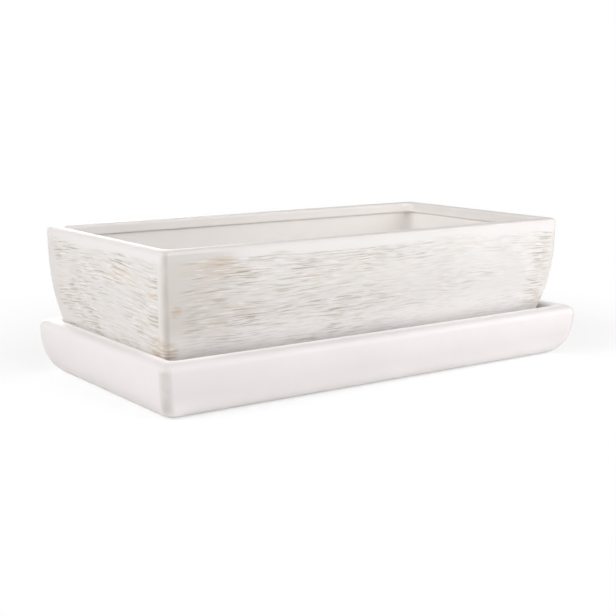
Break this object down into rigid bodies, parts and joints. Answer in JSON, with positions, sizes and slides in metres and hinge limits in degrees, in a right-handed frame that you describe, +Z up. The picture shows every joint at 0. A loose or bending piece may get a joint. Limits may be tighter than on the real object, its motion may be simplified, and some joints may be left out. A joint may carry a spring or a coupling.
{
  "type": "planter with saucer",
  "caption": "Long rectangular glazed ceramic planter with a thick rounded rim and brushed outer faces, standing loose in a shallow matching drip saucer.",
  "frame": {"origin": "on the surface the planter stands on, under the middle of the saucer", "axes": "+X along the planter's length, +Y across it towards the back, +Z up"},
  "size_m": [0.3172, 0.1676, 0.0926],
  "materials": {
    "brushed_glaze": "satin off-white glaze over stoneware with thin beige and grey-brown brushed strokes on the outer faces; plain rim and inside; bare clay foot",
    "plain_glaze": "plain satin off-white glaze over stoneware; bare clay foot ring"
  },
  "bodies": {
    "saucer": {"drip_saucer": "plain_glaze"},
    "pot": {"planter_pot": "brushed_glaze"}
  },
  "joints": [
    {"name": "pot_lift", "type": "slide", "parent": "saucer", "child": "pot", "axis": [0, 0, 1], "range_m": [0, 0.06]}
  ]
}
